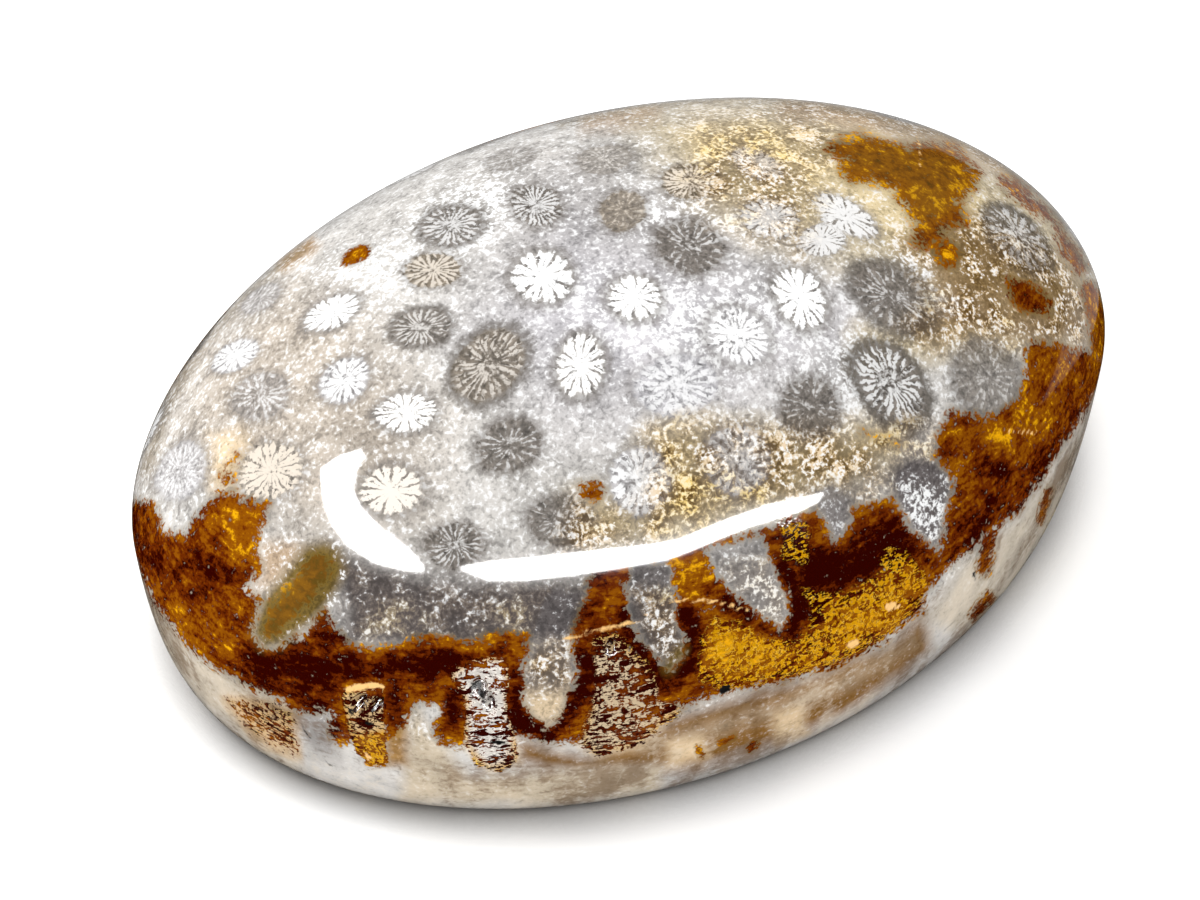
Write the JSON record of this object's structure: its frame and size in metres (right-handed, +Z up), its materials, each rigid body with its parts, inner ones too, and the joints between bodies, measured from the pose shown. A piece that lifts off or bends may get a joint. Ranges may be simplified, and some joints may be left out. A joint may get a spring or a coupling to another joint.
{
  "type": "polished fossil coral palm stone",
  "caption": "Polished oval palm stone of agatized star coral, domed on top with a crisp girdle and a flat base, to hold or to set on a shelf.",
  "frame": {"origin": "on the surface that the stone rests on, under the middle of its box", "axes": "+X along the oval's length, +Y across it, +Z up through the dome"},
  "size_m": [0.06, 0.0426, 0.0232],
  "materials": {
    "agatized_coral": "high polish, pale grey chalcedony with starred coral sections and amber-brown iron staining"
  },
  "bodies": {
    "root": {"coral_stone": "agatized_coral"}
  },
  "joints": []
}
